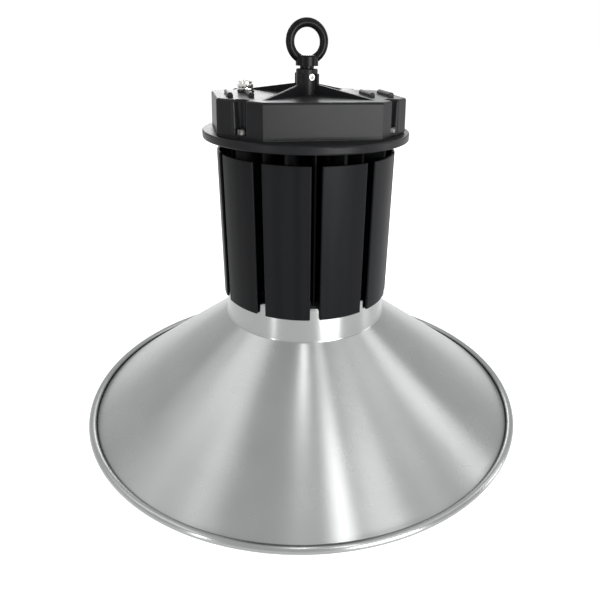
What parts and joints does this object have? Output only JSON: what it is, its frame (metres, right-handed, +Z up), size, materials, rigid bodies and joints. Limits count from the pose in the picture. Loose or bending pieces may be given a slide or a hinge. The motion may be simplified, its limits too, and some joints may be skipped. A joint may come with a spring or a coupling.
{
  "type": "industrial led light",
  "caption": "High-bay LED light: conical spun reflector, finned round heatsink, cast driver housing with cable gland and a hanging eye on top.",
  "frame": {"origin": "centre of the plane that the reflector's rim stands on", "axes": "+Z up along the lamp's axis to the hanging eye, +X along the housing's long side, -Y out of the housing's front face"},
  "size_m": [0.4999, 0.5, 0.4127],
  "materials": {
    "spun_aluminium": "spun and satin, circumferential lines",
    "anodised_black": "black anodised extrusion, fine lengthwise die lines",
    "mill_aluminium": "turned",
    "thermal_grey": "matt",
    "board_white": "white solder mask",
    "phosphor": "yellow phosphor",
    "glass": "clear tempered glass",
    "silicone": "translucent silicone",
    "ring_aluminium": "turned and satin",
    "powder_black": "satin black powder coat on a casting",
    "black_screw": "black oxide",
    "eye_black": "semi-gloss black coat on a forging",
    "stainless": "machined",
    "nickel": "nickel plated brass",
    "rubber": "matt black",
    "lead_sheath": "extruded sheath",
    "driver_case": "satin case",
    "terminal_plastic": "moulded"
  },
  "bodies": {
    "root": {"reflector": "spun_aluminium", "heatsink": "anodised_black", "base_plate": "mill_aluminium", "base_plate_screws": "stainless", "thermal_pad": "thermal_grey", "led_board": "board_white", "led_emitters": "phosphor", "board_screws": "stainless", "glass_lens": "glass", "lens_seal": "silicone", "lens_ring": "ring_aluminium", "lens_ring_screws": "stainless", "mounting_flange": "powder_black", "flange_screws": "stainless", "cable_grommet": "rubber", "led_lead": "lead_sheath", "housing_seal": "rubber", "driver_housing": "powder_black", "housing_screws": "black_screw", "eye_bolt": "eye_black", "eye_lock_screw": "stainless", "gland_washer": "rubber", "gland_body": "nickel", "gland_seal": "rubber", "gland_cap": "nickel", "gland_locknut": "nickel", "driver": "driver_case", "driver_screws": "stainless", "driver_input_lead": "lead_sheath", "terminal_block": "terminal_plastic", "terminal_screws": "stainless", "earth_screw": "stainless"}
  },
  "joints": []
}
